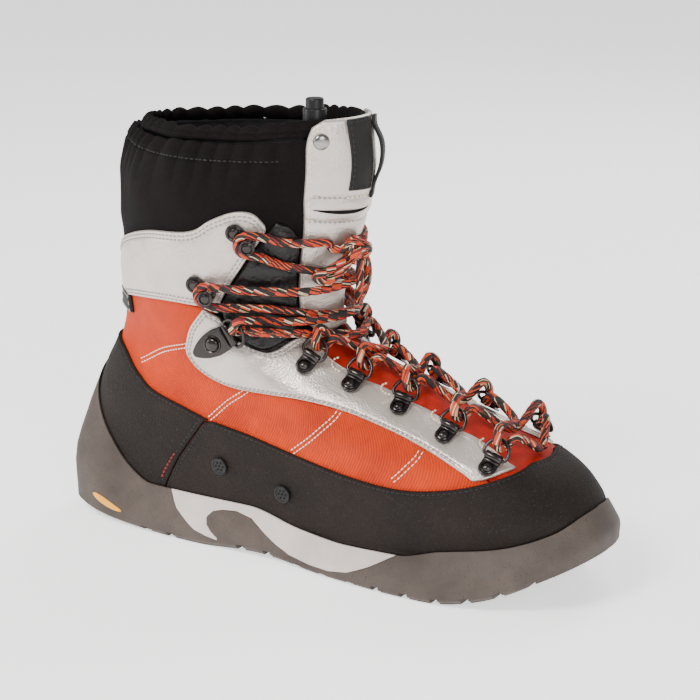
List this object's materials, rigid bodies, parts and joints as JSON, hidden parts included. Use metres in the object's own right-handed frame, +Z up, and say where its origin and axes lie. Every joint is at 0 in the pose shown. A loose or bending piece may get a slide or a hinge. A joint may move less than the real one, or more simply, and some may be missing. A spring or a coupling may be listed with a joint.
{
  "type": "mountaineering boot",
  "caption": "Laced high-cut mountaineering boot with a cloth and leather upper, rubber rand, lace rings and hooks, a sprung cord toggle and a lugged sole.",
  "frame": {"origin": "on the ground under the middle of the heel, on the tread's flat heel lug", "axes": "+X to the toe, +Z up, -Y to the outer side of this right boot"},
  "size_m": [0.3147, 0.1122, 0.2423],
  "materials": {
    "rubber": "moulded matte rubber with a fine grain",
    "midsole_foam": "satin foam rubber",
    "rand_hide": "matte pebbled rubberised leather",
    "orange_cloth": "coarse plain-weave nylon",
    "silver_leather": "pearly coated leather",
    "black_cloth": "matte black knit and webbing",
    "black_sheen": "dark coated cloth with a soft sheen",
    "lining_cloth": "brushed lining cloth",
    "stiffener": "fibreboard stiffener",
    "gunmetal": "gunmetal plating",
    "steel": "plain steel wire",
    "black_plastic": "moulded black plastic",
    "lace_braid": "round braided lace, black ground with orange, cream and crimson flecks"
  },
  "bodies": {
    "root": {"midsole": "midsole_foam", "outsole": "rubber", "footbed": "black_sheen", "lining": "lining_cloth", "heel_counter": "stiffener", "toe_puff": "stiffener", "tongue_lower": "orange_cloth", "quarter": "orange_cloth", "collar": "black_cloth", "collar_hem": "black_cloth", "rand_heel": "rand_hide", "rand_front": "rand_hide", "facing_lateral": "silver_leather", "facing_medial": "silver_leather", "cuff": "silver_leather", "ankle_pad_lateral": "black_sheen", "ankle_pad_medial": "black_sheen", "tongue_shield": "silver_leather", "label_strap": "black_cloth", "clip_lateral_1": "gunmetal", "clip_lateral_2": "gunmetal", "clip_lateral_3": "gunmetal", "clip_lateral_4": "gunmetal", "clip_lateral_5": "gunmetal", "lock_plate_lateral": "gunmetal", "hook_mid_lateral": "gunmetal", "hook_top_lateral": "gunmetal", "clip_medial_1": "gunmetal", "clip_medial_2": "gunmetal", "clip_medial_3": "gunmetal", "clip_medial_4": "gunmetal", "clip_medial_5": "gunmetal", "lock_plate_medial": "gunmetal", "hook_mid_medial": "gunmetal", "hook_top_medial": "gunmetal", "lace_strand_a": "lace_braid", "lace_strand_b": "lace_braid", "lace_bow": "lace_braid", "tongue_snap": "gunmetal", "vent_rear": "black_plastic", "vent_front": "black_plastic", "webbing_loop": "black_cloth", "toggle_barrel": "black_plastic"},
    "ring_lateral_1": {"ring_lateral_1": "gunmetal"},
    "ring_lateral_2": {"ring_lateral_2": "gunmetal"},
    "ring_lateral_3": {"ring_lateral_3": "gunmetal"},
    "ring_lateral_4": {"ring_lateral_4": "gunmetal"},
    "ring_lateral_5": {"ring_lateral_5": "gunmetal"},
    "lock_ring_lateral": {"lock_ring_lateral": "steel"},
    "roller_mid_lateral": {"roller_mid_lateral": "steel"},
    "roller_top_lateral": {"roller_top_lateral": "steel"},
    "ring_medial_1": {"ring_medial_1": "gunmetal"},
    "ring_medial_2": {"ring_medial_2": "gunmetal"},
    "ring_medial_3": {"ring_medial_3": "gunmetal"},
    "ring_medial_4": {"ring_medial_4": "gunmetal"},
    "ring_medial_5": {"ring_medial_5": "gunmetal"},
    "lock_ring_medial": {"lock_ring_medial": "steel"},
    "roller_mid_medial": {"roller_mid_medial": "steel"},
    "roller_top_medial": {"roller_top_medial": "steel"},
    "toggle_plunger": {"toggle_plunger": "black_plastic"}
  },
  "joints": [
    {"name": "ring_lateral_1_pivot", "type": "hinge", "parent": "root", "child": "ring_lateral_1", "pos_m": [0.21651, -0.02211, 0.07411], "axis": [-0.9412, -0.072, 0.3302], "range_deg": [-5, 5]},
    {"name": "ring_lateral_2_pivot", "type": "hinge", "parent": "root", "child": "ring_lateral_2", "pos_m": [0.18974, -0.01706, 0.08469], "axis": [-0.9453, -0.03, 0.3249], "range_deg": [-5, 5]},
    {"name": "ring_lateral_3_pivot", "type": "hinge", "parent": "root", "child": "ring_lateral_3", "pos_m": [0.16237, -0.01571, 0.09522], "axis": [-0.947, -0.1908, 0.2585], "range_deg": [-5, 5]},
    {"name": "ring_lateral_4_pivot", "type": "hinge", "parent": "root", "child": "ring_lateral_4", "pos_m": [0.13668, -0.01859, 0.10394], "axis": [-0.9438, -0.0632, 0.3244], "range_deg": [-5, 5]},
    {"name": "ring_lateral_5_pivot", "type": "hinge", "parent": "root", "child": "ring_lateral_5", "pos_m": [0.11411, -0.02528, 0.11233], "axis": [-0.8789, -0.082, 0.4699], "range_deg": [-5, 5]},
    {"name": "lock_ring_lateral_pivot", "type": "hinge", "parent": "root", "child": "lock_ring_lateral", "pos_m": [0.07626, -0.04314, 0.12208], "axis": [-0.5135, -0.0739, 0.8549], "range_deg": [-5, 5]},
    {"name": "roller_mid_lateral_spin", "type": "hinge", "parent": "root", "child": "roller_mid_lateral", "pos_m": [0.06527, -0.04575, 0.14291], "axis": [0.2995, -0.9393, -0.1675], "continuous": true},
    {"name": "roller_top_lateral_spin", "type": "hinge", "parent": "root", "child": "roller_top_lateral", "pos_m": [0.08691, -0.04171, 0.17095], "axis": [0.4591, -0.8715, -0.1725], "continuous": true},
    {"name": "ring_medial_1_pivot", "type": "hinge", "parent": "root", "child": "ring_medial_1", "pos_m": [0.21638, 0.03385, 0.07423], "axis": [0.9538, -0.0558, -0.2951], "range_deg": [-5, 5]},
    {"name": "ring_medial_2_pivot", "type": "hinge", "parent": "root", "child": "ring_medial_2", "pos_m": [0.1896, 0.02695, 0.08473], "axis": [0.9573, -0.0145, -0.2888], "range_deg": [-5, 5]},
    {"name": "ring_medial_3_pivot", "type": "hinge", "parent": "root", "child": "ring_medial_3", "pos_m": [0.16225, 0.02251, 0.09521], "axis": [0.9564, -0.1785, -0.231], "range_deg": [-5, 5]},
    {"name": "ring_medial_4_pivot", "type": "hinge", "parent": "root", "child": "ring_medial_4", "pos_m": [0.13659, 0.02376, 0.10401], "axis": [0.9513, -0.0541, -0.3036], "range_deg": [-5, 5]},
    {"name": "ring_medial_5_pivot", "type": "hinge", "parent": "root", "child": "ring_medial_5", "pos_m": [0.11398, 0.02906, 0.11242], "axis": [0.893, -0.0631, -0.4455], "range_deg": [-5, 5]},
    {"name": "lock_ring_medial_pivot", "type": "hinge", "parent": "root", "child": "lock_ring_medial", "pos_m": [0.07611, 0.045, 0.1222], "axis": [0.5233, -0.0493, -0.8507], "range_deg": [-5, 5]},
    {"name": "roller_mid_medial_spin", "type": "hinge", "parent": "root", "child": "roller_mid_medial", "pos_m": [0.06525, 0.04636, 0.14304], "axis": [0.2947, 0.9475, -0.1241], "continuous": true},
    {"name": "roller_top_medial_spin", "type": "hinge", "parent": "root", "child": "roller_top_medial", "pos_m": [0.08691, 0.04171, 0.17095], "axis": [0.4591, 0.8715, -0.1725], "continuous": true},
    {"name": "toggle_press", "type": "slide", "parent": "root", "child": "toggle_plunger", "axis": [0, 0, -1], "range_m": [0, 0.004], "stiffness_N_per_m": 500, "springref_m": -0.002}
  ]
}
